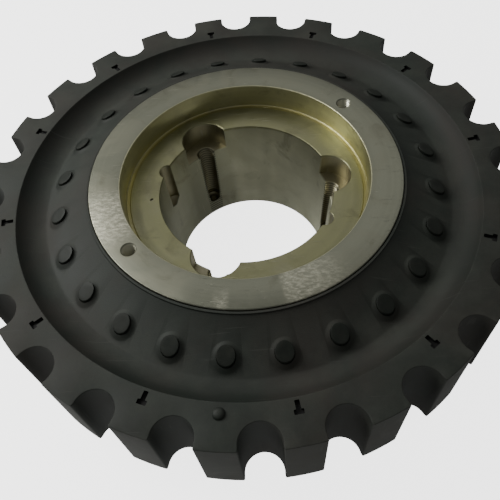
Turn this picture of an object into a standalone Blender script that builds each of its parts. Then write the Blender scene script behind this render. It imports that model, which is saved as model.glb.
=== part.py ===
"""Timing belt pulley: a toothed ring moulded round a steel core disc, on a steel hub bored for a taper bush.

Metres, +Z up. The origin is on the bore axis at the hub's lower face. +Z points to the face that the
bush goes in from. A gullet between two teeth is centred on +X.
"""

import math

import bmesh
import bpy
from mathutils import Matrix, Vector

# Fits
GAP = 0.0003            # between pieces that touch
PIN_CLEARANCE = 0.0003  # round each drive pin

# Hub
HUB_LENGTH = 0.1240
BARREL_RADIUS = 0.1100
FLANGE_OVERHANG = 0.0165      # flange past the barrel
FACE_LAND = 0.0255            # width of the flange's flat face, round the recess
RECESS_DEPTH = 0.0224
EDGE_CHAMFER = 0.0012
BORE_MOUTH_RADIUS = 0.0730   # large end of the taper
BORE_TAPER = math.radians(2.8)  # each side
MOUTH_CHAMFER = 0.0010

# Screw holes that the hub shares with the bush: half of each lies in the hub
SCREW_ANGLES = (8.2, 119.4, 248.0)
SCREW_HOLE_RADIUS = 0.0081
SCREW_HOLE_DEPTH = 0.0844     # below the recess floor
SEAT_RADIUS = 0.0201
SEAT_INSET = 0.0033           # seat's centre inside the bore's mouth circle
SEAT_DEPTH = 0.0215
JACK_ANGLES = (158.7, 329.5)
JACK_HOLE_RADIUS = 0.0072
JACK_INSET = 0.0015           # hole's centre inside the bore's mouth circle
JACK_HOLE_DEPTH = 0.0410
DRILL_POINT = math.radians(59)  # half the tip angle of the drill

# Tapped holes in the hub's face
TAPPED_ANGLES = (37.5, 217.5)
TAPPED_INSET = 0.0118         # hole's centre outside the recess wall
TAPPED_RADIUS = 0.0060
TAPPED_DEPTH = 0.0300

# Toothed ring
TEETH = 24
TIP_RADIUS = 0.2200
TOOTH_HEIGHT = 0.0194
GULLET_RADIUS = 0.0144
GULLET_FLARE = math.radians(6)  # each side, outside the round root
FACE_WIDTH = 0.0730
RIM_DROP = 0.0105               # rim face below the hub face
RIM_LAND = 0.0126               # rim face from the tooth roots in to the trough
TROUGH_WALL = 0.0215            # trough's wall, seen from above
TROUGH_DEPTH = 0.0129           # below the rim face
LIP_WIDTH = 0.0022
LIP_DROP = 0.0012               # lip below the hub face
COLLAR_DROP = 0.0026            # inner end of the cone below the hub face
UNDER_COLLAR_RISE = 0.0150      # inner end of the lower cone below its trough

# Core disc
DISC_COVER = 0.0120             # rim between the disc's edge and the trough's inner rim edge
DISC_THICKNESS = 0.0140

# Drive pins, one on each tooth's centre line
PIN_RADIUS = 0.0068
PIN_OFFSET = 0.00675            # pin circle outside the cone's middle
PIN_PROUD = 0.0037              # straight up from the cone
PIN_EDGE = 0.0008

# Marks on the rim face
MARK_INSET = 0.0020             # inner end of each T outside the trough
MARK_LENGTH = 0.0096
MARK_BAR = 0.0068
MARK_STROKE = 0.0034
MARK_DEPTH = 0.0028
NUB_INSET = 0.0078              # its centre outside the trough
NUB_RADIUS = 0.0042
NUB_HEIGHT = 0.0030
NUB_TOOTH = 17                  # tooth that carries the nub, counted from +X

# Fineness
TURN_STEPS = 72
HOLE_STEPS = 16
PIN_STEPS = 12
ARC_STEPS = 3
GULLET_STEPS = 9        # odd, so no corner of a root falls on an edge of the turned rim
CUT_PAST = 0.002                # how far a cutter runs past the face it enters

PITCH = math.tau / TEETH
FLANGE_RADIUS = BARREL_RADIUS + FLANGE_OVERHANG
RECESS_RADIUS = FLANGE_RADIUS - FACE_LAND
TAPPED_CIRCLE_RADIUS = RECESS_RADIUS + TAPPED_INSET
SEAT_CENTRE_RADIUS = BORE_MOUTH_RADIUS - SEAT_INSET
JACK_CENTRE_RADIUS = BORE_MOUTH_RADIUS - JACK_INSET
ROOT_RADIUS = TIP_RADIUS - TOOTH_HEIGHT
RIM_INNER_RADIUS = ROOT_RADIUS - RIM_LAND
TROUGH_RADIUS = RIM_INNER_RADIUS - TROUGH_WALL
DISC_RADIUS = RIM_INNER_RADIUS - DISC_COVER
MARK_RADIUS = RIM_INNER_RADIUS + MARK_INSET
NUB_CENTRE_RADIUS = RIM_INNER_RADIUS + NUB_INSET
RECESS_FLOOR = HUB_LENGTH - RECESS_DEPTH
BORE_FOOT_RADIUS = BORE_MOUTH_RADIUS - RECESS_FLOOR * math.tan(BORE_TAPER)
RIM_TOP = HUB_LENGTH - RIM_DROP
RIM_FOOT = RIM_TOP - FACE_WIDTH
TROUGH_TOP = RIM_TOP - TROUGH_DEPTH
TROUGH_FOOT = RIM_FOOT + TROUGH_DEPTH
DISC_MIDDLE = (RIM_TOP + RIM_FOOT) / 2
DISC_TOP = DISC_MIDDLE + DISC_THICKNESS / 2
DISC_FOOT = DISC_MIDDLE - DISC_THICKNESS / 2
RING_UPPER_BORE = FLANGE_RADIUS + GAP
RING_LOWER_BORE = BARREL_RADIUS + GAP
LIP_TOP = HUB_LENGTH - LIP_DROP
CONE_TOP = HUB_LENGTH - COLLAR_DROP
CONE_INNER_RADIUS = RING_UPPER_BORE + LIP_WIDTH
PIN_CIRCLE_RADIUS = (CONE_INNER_RADIUS + TROUGH_RADIUS) / 2 + PIN_OFFSET


def clear_scene():
    for thing in list(bpy.data.objects):
        bpy.data.objects.remove(thing, do_unlink=True)


def finish_material(name, colour, roughness, metallic):
    material = bpy.data.materials.new(name)
    material.use_nodes = True
    shader = material.node_tree.nodes["Principled BSDF"]
    shader.inputs["Base Color"].default_value = (*colour, 1)
    shader.inputs["Roughness"].default_value = roughness
    shader.inputs["Metallic"].default_value = metallic
    return material


def polar(radius, angle, z=0.0):
    return Vector((radius * math.cos(angle), radius * math.sin(angle), z))


def add_object(name, bm, material=None):
    bmesh.ops.recalc_face_normals(bm, faces=bm.faces[:])
    mesh = bpy.data.meshes.new(name)
    bm.to_mesh(mesh)
    bm.free()
    mesh.shade_smooth()
    mesh.set_sharp_from_angle(angle=math.radians(30))
    piece = bpy.data.objects.new(name, mesh)
    bpy.context.scene.collection.objects.link(piece)
    if material:
        mesh.materials.append(material)
    return piece


def spin_outline(bm, outline, steps, centre=Vector((0, 0, 0))):
    """Turns a closed (radius, z) outline, or one whose ends lie on the axis, about a vertical axis."""
    closed = min(radius for radius, _ in outline) > 0
    points = [bm.verts.new(centre + Vector((radius, 0, z))) for radius, z in outline]
    pairs = list(zip(points, points[1:] + points[:1]))
    edges = [bm.edges.new(pair) for pair in (pairs if closed else pairs[:-1])]
    bmesh.ops.spin(bm, geom=points + edges, cent=centre, axis=(0, 0, 1), angle=math.tau,
                   steps=steps, use_merge=True, use_duplicate=False)
    bmesh.ops.remove_doubles(bm, verts=bm.verts[:], dist=0.000001)


def prism(bm, outline, low, high):
    """Raises a flat outline of (x, y) points into a solid between two heights."""
    floor = bm.faces.new([bm.verts.new((x, y, low)) for x, y in outline])
    lid = bmesh.ops.extrude_face_region(bm, geom=[floor])
    raised = [v for v in lid["geom"] if isinstance(v, bmesh.types.BMVert)]
    bmesh.ops.translate(bm, verts=raised, vec=(0, 0, high - low))


def cut(piece, cutter):
    cutter.hide_render = True
    cutter.display_type = "WIRE"
    boolean = piece.modifiers.new(cutter.name, "BOOLEAN")
    boolean.operation = "DIFFERENCE"
    boolean.object = cutter


def cone_height(radius):
    """Height of the ring's upper cone at a radius."""
    share = (TROUGH_RADIUS - radius) / (TROUGH_RADIUS - CONE_INNER_RADIUS)
    return TROUGH_TOP + share * (CONE_TOP - TROUGH_TOP)


def under_cone_height(radius):
    """Height of the ring's lower cone at a radius."""
    share = (TROUGH_RADIUS - radius) / (TROUGH_RADIUS - RING_LOWER_BORE)
    return TROUGH_FOOT - share * UNDER_COLLAR_RISE


def cone_slope(height):
    """Rise of a cone for each metre outwards."""
    run = PIN_CIRCLE_RADIUS - TROUGH_RADIUS
    return (height(PIN_CIRCLE_RADIUS) - height(TROUGH_RADIUS)) / run


def trough_wall(side):
    """The trough's round wall, from its lowest line to the rim's inner edge. side is +1 above, -1 below."""
    run = RIM_INNER_RADIUS - TROUGH_RADIUS
    sweep = (run ** 2 + TROUGH_DEPTH ** 2) / (2 * TROUGH_DEPTH)
    full = math.asin(run / sweep)
    base = TROUGH_TOP if side > 0 else TROUGH_FOOT
    steps = [full * i / ARC_STEPS for i in range(ARC_STEPS + 1)]
    return [(TROUGH_RADIUS + sweep * math.sin(a), base + side * sweep * (1 - math.cos(a))) for a in steps]


def make_hub(material):
    c = EDGE_CHAMFER
    m = MOUTH_CHAMFER
    seat = DISC_TOP + GAP  # the flange rests on the core disc here
    outline = [
        (BORE_FOOT_RADIUS, 0), (BARREL_RADIUS - c, 0), (BARREL_RADIUS, c), (BARREL_RADIUS, seat),
        (FLANGE_RADIUS, seat), (FLANGE_RADIUS, HUB_LENGTH - c), (FLANGE_RADIUS - c, HUB_LENGTH),
        (RECESS_RADIUS + c, HUB_LENGTH), (RECESS_RADIUS, HUB_LENGTH - c), (RECESS_RADIUS, RECESS_FLOOR),
        (BORE_MOUTH_RADIUS + m, RECESS_FLOOR), (BORE_MOUTH_RADIUS, RECESS_FLOOR - m),
    ]
    bm = bmesh.new()
    spin_outline(bm, outline, TURN_STEPS)
    hub = add_object("taper_hub", bm, material)
    cut(hub, screw_seat_cutter())
    cut(hub, screw_hole_cutter())
    cut(hub, jack_hole_cutter())
    cut(hub, tapped_hole_cutter())
    return hub


def screw_seat_cutter():
    """Half counterbores that the bush screws' heads sink into."""
    bm = bmesh.new()
    low = RECESS_FLOOR - SEAT_DEPTH
    high = RECESS_FLOOR + CUT_PAST
    for angle in SCREW_ANGLES:
        centre = polar(SEAT_CENTRE_RADIUS, math.radians(angle), (low + high) / 2)
        bmesh.ops.create_cone(bm, cap_ends=True, segments=2 * HOLE_STEPS, radius1=SEAT_RADIUS,
                              radius2=SEAT_RADIUS, depth=high - low, matrix=Matrix.Translation(centre))
    return add_object("cut_screw_seats", bm)


def drilled(bm, radius, top, bottom, centre):
    """A drilled hole with its conical end, about a vertical axis."""
    tip = bottom - radius / math.tan(DRILL_POINT)
    spin_outline(bm, [(0, top), (radius, top), (radius, bottom), (0, tip)], HOLE_STEPS, centre)


def screw_hole_cutter():
    """Threaded half holes that the bush screws pull on. Each axis lies in the bore's mouth circle."""
    bm = bmesh.new()
    top = RECESS_FLOOR - SEAT_DEPTH + CUT_PAST
    bottom = RECESS_FLOOR - SCREW_HOLE_DEPTH
    for angle in SCREW_ANGLES:
        drilled(bm, SCREW_HOLE_RADIUS, top, bottom, polar(BORE_MOUTH_RADIUS, math.radians(angle)))
    return add_object("cut_screw_holes", bm)


def jack_hole_cutter():
    """Plain half holes that the jacking screws press on when the bush is taken out."""
    bm = bmesh.new()
    bottom = RECESS_FLOOR - JACK_HOLE_DEPTH
    for angle in JACK_ANGLES:
        centre = polar(JACK_CENTRE_RADIUS, math.radians(angle))
        drilled(bm, JACK_HOLE_RADIUS, RECESS_FLOOR + CUT_PAST, bottom, centre)
    return add_object("cut_jack_holes", bm)


def tapped_hole_cutter():
    bm = bmesh.new()
    bottom = HUB_LENGTH - TAPPED_DEPTH
    for angle in TAPPED_ANGLES:
        centre = polar(TAPPED_CIRCLE_RADIUS, math.radians(angle))
        drilled(bm, TAPPED_RADIUS, HUB_LENGTH + CUT_PAST, bottom, centre)
    return add_object("cut_tapped_holes", bm)


def make_core_disc(material):
    bm = bmesh.new()
    inner = BARREL_RADIUS + GAP
    outline = [(inner, DISC_FOOT), (DISC_RADIUS, DISC_FOOT), (DISC_RADIUS, DISC_TOP), (inner, DISC_TOP)]
    spin_outline(bm, outline, TURN_STEPS)
    disc = add_object("core_disc", bm, material)
    cut(disc, pin_hole_cutter("cut_disc_pin_holes"))
    return disc


def pin_hole_cutter(name):
    """Round holes for the drive pins, through everything at their radius."""
    bm = bmesh.new()
    for tooth in range(TEETH):
        centre = polar(PIN_CIRCLE_RADIUS, (tooth + 0.5) * PITCH, HUB_LENGTH / 2)
        reach = PIN_RADIUS + PIN_CLEARANCE
        bmesh.ops.create_cone(bm, cap_ends=True, segments=PIN_STEPS, radius1=reach, radius2=reach,
                              depth=HUB_LENGTH + 2 * CUT_PAST, matrix=Matrix.Translation(centre))
    return add_object(name, bm)


def gullet_outline(angle):
    """One gullet, seen from above: a round root whose sides run on outwards at the flare."""
    hub_to_centre = ROOT_RADIUS + GULLET_RADIUS
    reach = TIP_RADIUS + 0.5 * GULLET_RADIUS
    start = math.pi / 2 - GULLET_FLARE
    turns = [start + (math.tau - 2 * start) * i / GULLET_STEPS for i in range(GULLET_STEPS + 1)]
    local = [(hub_to_centre + GULLET_RADIUS * math.cos(t), GULLET_RADIUS * math.sin(t)) for t in turns]
    last_x, last_y = local[-1]
    mouth = last_y - (reach - last_x) * math.tan(GULLET_FLARE)
    local += [(reach, mouth), (reach, -mouth)]
    turn = Matrix.Rotation(angle, 2)
    return [turn @ Vector(point) for point in local]


def gullet_cutter():
    bm = bmesh.new()
    for tooth in range(TEETH):
        prism(bm, gullet_outline(tooth * PITCH), RIM_FOOT - CUT_PAST, RIM_TOP + CUT_PAST)
    return add_object("cut_gullets", bm)


def mark_cutter():
    """T-shaped marks in the rim face, on every second tooth."""
    bm = bmesh.new()
    bar = MARK_RADIUS + MARK_LENGTH
    neck = bar - MARK_STROKE
    half_stem = MARK_STROKE / 2
    half_bar = MARK_BAR / 2
    local = [(MARK_RADIUS, -half_stem), (neck, -half_stem), (neck, -half_bar), (bar, -half_bar),
             (bar, half_bar), (neck, half_bar), (neck, half_stem), (MARK_RADIUS, half_stem)]
    for tooth in range(0, TEETH, 2):
        turn = Matrix.Rotation((tooth + 0.5) * PITCH, 2)
        prism(bm, [turn @ Vector(point) for point in local], RIM_TOP - MARK_DEPTH, RIM_TOP + CUT_PAST)
    return add_object("cut_marks", bm)


def nub():
    """The small dome on the rim face. Its foot is sunk in the rim and joined to it."""
    bm = bmesh.new()
    quarter = [math.pi / 2 * i / ARC_STEPS for i in range(ARC_STEPS + 1)]
    dome = [(NUB_RADIUS * math.sin(a), RIM_TOP + NUB_HEIGHT * math.cos(a)) for a in quarter[1:]]
    outline = [(0, RIM_TOP + NUB_HEIGHT)] + dome + [(NUB_RADIUS, RIM_TOP - NUB_HEIGHT), (0, RIM_TOP - NUB_HEIGHT)]
    spin_outline(bm, outline, HOLE_STEPS, polar(NUB_CENTRE_RADIUS, (NUB_TOOTH + 0.5) * PITCH))
    return add_object("join_nub", bm)


def make_ring(material):
    slot_radius = DISC_RADIUS + GAP
    outline = [
        (RING_UPPER_BORE, DISC_TOP + GAP), (RING_UPPER_BORE, LIP_TOP), (CONE_INNER_RADIUS, LIP_TOP),
        (CONE_INNER_RADIUS, CONE_TOP),
        *trough_wall(+1),
        (TIP_RADIUS, RIM_TOP), (TIP_RADIUS, RIM_FOOT),
        *reversed(trough_wall(-1)),
        (RING_LOWER_BORE, under_cone_height(RING_LOWER_BORE)), (RING_LOWER_BORE, DISC_FOOT - GAP),
        (slot_radius, DISC_FOOT - GAP), (slot_radius, DISC_TOP + GAP),
    ]
    bm = bmesh.new()
    spin_outline(bm, outline, TURN_STEPS)
    ring = add_object("toothed_ring", bm, material)
    cut(ring, gullet_cutter())
    cut(ring, pin_hole_cutter("cut_ring_pin_holes"))
    cut(ring, mark_cutter())
    boss = nub()
    boss.hide_render = True
    boss.display_type = "WIRE"
    join = ring.modifiers.new("join_nub", "BOOLEAN")
    join.operation = "UNION"
    join.object = boss
    return ring


def lean(bm, slope_above, slope_below):
    """Slants both ends of a pin that stands on +X, so that each follows its cone."""
    for v in bm.verts:
        slope = slope_above if v.co.z > DISC_MIDDLE else slope_below
        v.co.z += slope * (v.co.x - PIN_CIRCLE_RADIUS)


def make_pins(material):
    """Drive pins through the ring and the core disc. Their ends stand proud of both cones, in line with them."""
    top = cone_height(PIN_CIRCLE_RADIUS) + PIN_PROUD
    foot = under_cone_height(PIN_CIRCLE_RADIUS) - PIN_PROUD
    outline = [(0, foot), (PIN_RADIUS - PIN_EDGE, foot), (PIN_RADIUS, foot + PIN_EDGE),
               (PIN_RADIUS, top - PIN_EDGE), (PIN_RADIUS - PIN_EDGE, top), (0, top)]
    bm = bmesh.new()
    spin_outline(bm, outline, PIN_STEPS, polar(PIN_CIRCLE_RADIUS, 0))
    lean(bm, cone_slope(cone_height), cone_slope(under_cone_height))
    first = add_object("drive_pin_01", bm, material)
    first.rotation_euler.z = 0.5 * PITCH
    for tooth in range(1, TEETH):
        pin = bpy.data.objects.new(f"drive_pin_{tooth + 1:02d}", first.data)
        pin.rotation_euler.z = (tooth + 0.5) * PITCH
        bpy.context.scene.collection.objects.link(pin)


def main():
    clear_scene()
    steel = finish_material("machined_steel", (0.36, 0.36, 0.30), 0.38, 1.0)
    plate = finish_material("plate_steel", (0.30, 0.30, 0.29), 0.5, 1.0)
    moulding = finish_material("black_moulding", (0.030, 0.033, 0.030), 0.6, 0.0)
    pins = finish_material("black_pin", (0.035, 0.038, 0.036), 0.5, 0.0)
    make_hub(steel)
    make_core_disc(plate)
    make_ring(moulding)
    make_pins(pins)


main()
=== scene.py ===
# %% [markdown]
# A timing belt pulley, finished
#
# The pulley has four kinds of piece: a turned steel hub, a black toothed ring that is moulded round a hidden
# steel disc, and a circle of drive pins whose ends stand out of the moulding. The solids that carry sizes and
# weight are already in the frame. This lesson makes the surfaces that you see, piece by piece, and each one
# takes its place from the frame.

# %% Load the frame
import math

import bmesh
import bpy
from mathutils import Matrix, Vector


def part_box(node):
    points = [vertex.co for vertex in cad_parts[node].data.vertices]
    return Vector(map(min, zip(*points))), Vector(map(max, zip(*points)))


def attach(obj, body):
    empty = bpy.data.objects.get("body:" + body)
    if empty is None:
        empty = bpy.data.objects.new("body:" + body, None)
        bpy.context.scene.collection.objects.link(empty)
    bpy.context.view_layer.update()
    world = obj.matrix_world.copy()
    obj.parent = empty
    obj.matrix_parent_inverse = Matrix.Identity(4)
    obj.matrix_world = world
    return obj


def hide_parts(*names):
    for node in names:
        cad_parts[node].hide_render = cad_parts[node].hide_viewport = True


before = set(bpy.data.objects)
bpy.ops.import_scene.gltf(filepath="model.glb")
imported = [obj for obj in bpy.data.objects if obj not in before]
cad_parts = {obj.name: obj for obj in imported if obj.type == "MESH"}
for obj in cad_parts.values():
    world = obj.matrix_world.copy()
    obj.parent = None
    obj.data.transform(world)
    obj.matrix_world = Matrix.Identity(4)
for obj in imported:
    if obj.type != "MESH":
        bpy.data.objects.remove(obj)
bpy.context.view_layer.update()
print("nodes in the frame:", len(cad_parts))

# %% [markdown]
# ## Driving sizes
#
# A turned part is a profile that goes round an axis, so nearly every size here is a radius or a height. The
# large ones are read from the frame's boxes. The small ones, such as a land or a wall, are written once and
# added on, so that each step of the profile says what it is next to.

# %% Sizes of the hub
hub_low, hub_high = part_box("taper_hub")
HUB_TOP = hub_high.z
FLANGE_RADIUS = hub_high.x
disc_low, disc_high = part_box("core_disc")
DISC_TOP = disc_high.z
DISC_FOOT = disc_low.z
DISC_RADIUS = disc_high.x
GAP = 0.0003

FLANGE_OVERHANG = 0.0165
BARREL_RADIUS = FLANGE_RADIUS - FLANGE_OVERHANG
RECESS_RADIUS = FLANGE_RADIUS - 0.0255
RECESS_FLOOR = HUB_TOP - 0.0224
BORE_MOUTH_RADIUS = 0.0730
BORE_TAPER = math.radians(2.8)
BORE_FOOT_RADIUS = BORE_MOUTH_RADIUS - RECESS_FLOOR * math.tan(BORE_TAPER)

SCREW_ANGLES = (8.2, 119.4, 248.0)
SCREW_HOLE_FOOT = RECESS_FLOOR - 0.0844
SCREW_PITCH = 0.0029
SCREW_CREST = 0.0067
SCREW_ROOT = 0.0081
THREAD_MOUTH = 0.0018
THREAD_LEAD, THREAD_FLANK, THREAD_ROOT = 0.2, 0.4, 0.15  # shares of the pitch
SEAT_RADIUS = 0.0201
SEAT_CENTRE_RADIUS = BORE_MOUTH_RADIUS - 0.0033
SEAT_FLOOR = RECESS_FLOOR - 0.0215
JACK_ANGLES = (158.7, 329.5)
JACK_HOLE_RADIUS = 0.0072
JACK_CENTRE_RADIUS = BORE_MOUTH_RADIUS - 0.0015
JACK_HOLE_FOOT = RECESS_FLOOR - 0.0410
TAPPED_ANGLES = (37.5, 217.5)
TAPPED_CENTRE_RADIUS = RECESS_RADIUS + 0.0118
TAPPED_FOOT = HUB_TOP - 0.0300
TAPPED_PITCH = 0.00175
TAPPED_CREST = 0.0051
TAPPED_ROOT = 0.0060
TAPPED_MOUTH = 0.0063
print(f"hub {2 * FLANGE_RADIUS * 1000:.0f} mm across and {HUB_TOP * 1000:.0f} mm long")

# %% Sizes of the toothed ring
TEETH = 24
PITCH = math.tau / TEETH
TIP_RADIUS = 0.2200
ROOT_RADIUS = TIP_RADIUS - 0.0194
GULLET_RADIUS = 0.0144
GULLET_FLARE = math.radians(6)
RIM_TOP = HUB_TOP - 0.0105
RIM_FOOT = RIM_TOP - 0.0730
RIM_INNER_RADIUS = ROOT_RADIUS - 0.0126
TROUGH_RADIUS = RIM_INNER_RADIUS - 0.0215
TROUGH_DEPTH = 0.0129
LIP_TOP = HUB_TOP - 0.0012
CONE_TOP = HUB_TOP - 0.0026
RING_UPPER_BORE = FLANGE_RADIUS + GAP
RING_LOWER_BORE = BARREL_RADIUS + GAP
CONE_INNER_RADIUS = RING_UPPER_BORE + 0.0022
UNDER_COLLAR_RISE = 0.0150

PIN_RADIUS = 0.0068
PIN_CIRCLE_SHIFT = 0.00675
PIN_CIRCLE_RADIUS = (CONE_INNER_RADIUS + TROUGH_RADIUS) / 2 + PIN_CIRCLE_SHIFT
PIN_PROUD = 0.0037
print(f"{TEETH} teeth, {2 * TIP_RADIUS * 1000:.0f} mm over the tips")
print(f"pins on a {2 * PIN_CIRCLE_RADIUS * 1000:.0f} mm circle")

# %% [markdown]
# ## Camera, light and floor
#
# The camera comes first, because it says which surfaces have to carry detail. It looks down into the recess
# from close by, a little rolled, as a hand-held camera is. The light is a soft panel on the left, a wider and
# weaker one behind, and a pale floor that sends some of it back up.

# %% Camera
def polar(radius, degrees, z=0.0):
    angle = math.radians(degrees)
    return Vector((radius * math.cos(angle), radius * math.sin(angle), z))


CAMERA_TURN = math.radians(2.0)
CAMERA_RISE = math.radians(48.25)
CAMERA_DISTANCE = 0.4777
CAMERA_ROLL = math.radians(-6.31)
AIM = Vector((-0.00172, -0.07732, 0.0))
LENS = 42.25


def place_camera():
    face = Vector((0, 0, HUB_TOP))
    turn = Matrix.Rotation(CAMERA_TURN, 3, "Z")
    back = Vector((0, -math.cos(CAMERA_RISE), math.sin(CAMERA_RISE))) * CAMERA_DISTANCE
    eye = face + turn @ back
    aim = face + turn @ AIM
    lens = bpy.data.cameras.new("camera")
    lens.lens = LENS
    lens.sensor_width = 36
    lens.clip_start = 0.01
    camera = bpy.data.objects.new("camera", lens)
    bpy.context.scene.collection.objects.link(camera)
    look = (aim - eye).to_track_quat("-Z", "Y").to_matrix().to_4x4()
    camera.matrix_world = Matrix.Translation(eye) @ look @ Matrix.Rotation(CAMERA_ROLL, 4, "Z")
    bpy.context.scene.camera = camera
    return camera


camera = place_camera()
print("camera at", [round(v, 3) for v in camera.matrix_world.translation])

# %% Light
def around(turn, rise, distance):
    """A place at a bearing, a height angle and a distance from the middle of the hub's face."""
    flat = distance * math.cos(math.radians(rise))
    return polar(flat, turn, HUB_TOP + distance * math.sin(math.radians(rise)))


def soft_panel(name, place, target, size, watts, colour):
    panel = bpy.data.lights.new(name, "AREA")
    panel.shape = "RECTANGLE"
    panel.size, panel.size_y = size
    panel.energy = watts
    panel.color = colour
    lamp = bpy.data.objects.new(name, panel)
    bpy.context.scene.collection.objects.link(lamp)
    aim = Vector(target) - Vector(place)
    lamp.matrix_world = Matrix.Translation(place) @ aim.to_track_quat("-Z", "Y").to_matrix().to_4x4()


def light_studio():
    target = (0, 0, HUB_TOP)
    soft_panel("key_panel", around(165, 38, 1.0), target, (0.6, 0.5), 6.9, (1.0, 1.0, 0.97))
    soft_panel("back_panel", around(82, 50, 1.4), target, (2.0, 1.0), 3.4, (1.0, 1.0, 0.96))
    world = bpy.data.worlds.new("soft_room")
    world.use_nodes = True
    background = world.node_tree.nodes["Background"]
    background.inputs["Color"].default_value = (0.86, 0.88, 0.84, 1)
    background.inputs["Strength"].default_value = 0.19
    bpy.context.scene.world = world


light_studio()

# %% Floor
FLOOR_GLOW = 3.0
FLOOR_BOUNCE = 0.125
FLOOR_RADIUS = 3.0
FLOOR_DROP = 0.0005


def make_floor():
    bm = bmesh.new()
    bmesh.ops.create_circle(bm, cap_ends=True, segments=64, radius=FLOOR_RADIUS)
    bmesh.ops.translate(bm, verts=bm.verts[:], vec=(0, 0, hub_low.z - FLOOR_DROP))
    mesh = bpy.data.meshes.new("floor")
    bm.to_mesh(mesh)
    bm.free()
    floor = bpy.data.objects.new("floor", mesh)
    bpy.context.scene.collection.objects.link(floor)
    paint = bpy.data.materials.new("pale_floor")
    paint.use_nodes = True
    shader = paint.node_tree.nodes["Principled BSDF"]
    shader.inputs["Base Color"].default_value = (0.80, 0.80, 0.79, 1)
    shader.inputs["Roughness"].default_value = 0.8
    shader.inputs["Emission Color"].default_value = (1, 1, 1, 1)
    seen = paint.node_tree.nodes.new("ShaderNodeLightPath")
    glow = paint.node_tree.nodes.new("ShaderNodeMath")
    glow.operation = "MULTIPLY_ADD"
    glow.inputs[1].default_value = FLOOR_GLOW
    glow.inputs[2].default_value = FLOOR_BOUNCE
    paint.node_tree.links.new(seen.outputs["Is Camera Ray"], glow.inputs[0])
    paint.node_tree.links.new(glow.outputs[0], shader.inputs["Emission Strength"])
    mesh.materials.append(paint)
    return floor


make_floor()
print("floor at", round(hub_low.z - FLOOR_DROP, 4))

# %% [markdown]
# ## Shader node groups
#
# Real finishes share a few effects. A lathe leaves fine rings on every turned face. Handling leaves cloudy
# smudges and short scratches. Dust settles on whatever faces up. Each effect is one node group that puts out
# a mask or a height, and each material sets its own strength.

# %% A small helper for node groups
class Group:
    """Builds a shader node group line by line: nodes are added by type, and sockets joined by name."""

    def __init__(self, name, inputs, outputs):
        self.tree = bpy.data.node_groups.new(name, "ShaderNodeTree")
        for label, kind, default in inputs:
            socket = self.tree.interface.new_socket(label, in_out="INPUT", socket_type=kind)
            socket.default_value = default
        for label, kind in outputs:
            self.tree.interface.new_socket(label, in_out="OUTPUT", socket_type=kind)
        self.entry = self.tree.nodes.new("NodeGroupInput")
        self.exit = self.tree.nodes.new("NodeGroupOutput")

    def add(self, kind, settings=None, **sockets):
        return add_node(self.tree, kind, settings, **sockets)


def plug(tree, socket, value):
    """Joins a link to a socket, or sets a plain value on it."""
    if isinstance(value, bpy.types.NodeSocket):
        tree.links.new(value, socket)
    else:
        socket.default_value = value


def add_node(tree, kind, settings=None, **sockets):
    """One node. A socket is given by its name, or by its number as in0 or in1."""
    node = tree.nodes.new(kind)
    for label, value in (settings or {}).items():
        setattr(node, label, value)
    for label, value in sockets.items():
        numbered = label[:2] == "in" and label[2:].isdigit()
        plug(tree, node.inputs[int(label[2:]) if numbered else label.replace("_", " ")], value)
    return node


def maths(tree, operation, first, second=0.0):
    return add_node(tree, "ShaderNodeMath", {"operation": operation}, in0=first, in1=second).outputs[0]


def share_of(tree, mask, amount):
    return maths(tree, "MULTIPLY", mask, amount)


def scaled(tree, value, scale, offset):
    """The value times scale, plus offset."""
    settings = {"operation": "MULTIPLY_ADD"}
    return add_node(tree, "ShaderNodeMath", settings, in0=value, in1=scale, in2=offset).outputs[0]


def span(tree, value, low, high):
    """0 below low, 1 above high, smooth between."""
    node = add_node(tree, "ShaderNodeMapRange", {"interpolation_type": "SMOOTHSTEP"}, Value=value)
    node.inputs["From Min"].default_value = low
    node.inputs["From Max"].default_value = high
    return node.outputs["Result"]


def blend_colour(tree, share, first, second):
    node = add_node(tree, "ShaderNodeMix", {"data_type": "RGBA"})
    plug(tree, node.inputs[0], share)
    plug(tree, node.inputs[6], first)
    plug(tree, node.inputs[7], second)
    return node.outputs[2]


print("node helpers ready")

# %% Cylinder coordinates: distance from the axis, and height
def make_round_place():
    group = Group("round_place", [], [("Radius", "NodeSocketFloat"), ("Height", "NodeSocketFloat")])
    tree = group.tree
    place = group.add("ShaderNodeTexCoord").outputs["Object"]
    split = group.add("ShaderNodeSeparateXYZ", Vector=place)
    across = maths(tree, "POWER", split.outputs["X"], 2.0)
    along = maths(tree, "POWER", split.outputs["Y"], 2.0)
    radius = maths(tree, "SQRT", maths(tree, "ADD", across, along))
    tree.links.new(radius, group.exit.inputs["Radius"])
    tree.links.new(split.outputs["Z"], group.exit.inputs["Height"])
    return tree


ROUND_PLACE = make_round_place()
print("group", ROUND_PLACE.name)

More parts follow.
